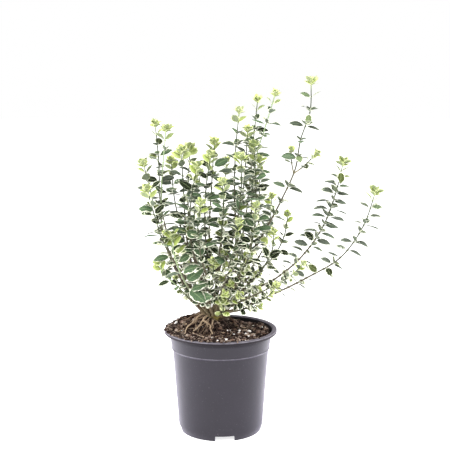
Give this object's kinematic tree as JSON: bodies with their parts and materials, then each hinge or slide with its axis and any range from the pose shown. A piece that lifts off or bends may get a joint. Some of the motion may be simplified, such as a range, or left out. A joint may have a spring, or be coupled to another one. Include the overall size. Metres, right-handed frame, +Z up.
{
  "type": "potted euonymus",
  "caption": "Bushy evergreen euonymus with slim leafy shoots, cream-edged green leaves and lime tips, growing in a round black nursery pot filled with soil.",
  "frame": {"origin": "middle of the pot's foot, on the surface that it stands on", "axes": "+Z up along the pot's axis, -Y towards the front of the plant, +X to the right seen from the front, the side that the long arching shoots reach to"},
  "size_m": [0.316, 0.1837, 0.4694],
  "materials": {
    "black_plastic": "thin moulded plastic, satin, with faint scuffs",
    "soil": "moist peat and bark mix, crumbly",
    "bark": "rough brown bark",
    "root": "pale fibrous root",
    "perlite": "white, porous",
    "leaf": "leathery leaf, green with a cream edge, satin"
  },
  "bodies": {
    "root": {"bark_chip_1": "bark", "bark_chip_2": "bark", "bark_chip_3": "bark", "bark_chip_4": "bark", "crown": "bark", "perlite_1": "perlite", "perlite_2": "perlite", "perlite_3": "perlite", "perlite_4": "perlite", "perlite_5": "perlite", "perlite_6": "perlite", "perlite_7": "perlite", "perlite_8": "perlite", "pot": "black_plastic", "root_far_left": "root", "root_left": "root", "root_loop": "root", "root_main": "root", "root_right": "root", "shoot_arching_right": "leaf", "shoot_back_left": "leaf", "shoot_back_middle": "leaf", "shoot_back_right": "leaf", "shoot_broad_leaves": "leaf", "shoot_crown_tuft": "leaf", "shoot_far_left_top": "leaf", "shoot_front_left": "leaf", "shoot_front_middle": "leaf", "shoot_front_right": "leaf", "shoot_high_back": "leaf", "shoot_high_far": "leaf", "shoot_high_left": "leaf", "shoot_high_middle": "leaf", "shoot_left_front": "leaf", "shoot_left_inner_front": "leaf", "shoot_left_low": "leaf", "shoot_left_outer": "leaf", "shoot_left_tuft_back": "leaf", "shoot_left_tuft_front": "leaf", "shoot_left_tuft_right": "leaf", "shoot_low_right": "leaf", "shoot_low_tuft": "leaf", "shoot_middle_back": "leaf", "shoot_middle_front": "leaf", "shoot_middle_near": "leaf", "shoot_middle_upright": "leaf", "shoot_right_back": "leaf", "shoot_right_low_a": "leaf", "shoot_right_low_b": "leaf", "shoot_right_low_back": "leaf", "shoot_right_low_c": "leaf", "shoot_right_low_d": "leaf", "shoot_right_of_middle": "leaf", "shoot_tall_right": "leaf", "soil": "soil"}
  },
  "joints": []
}
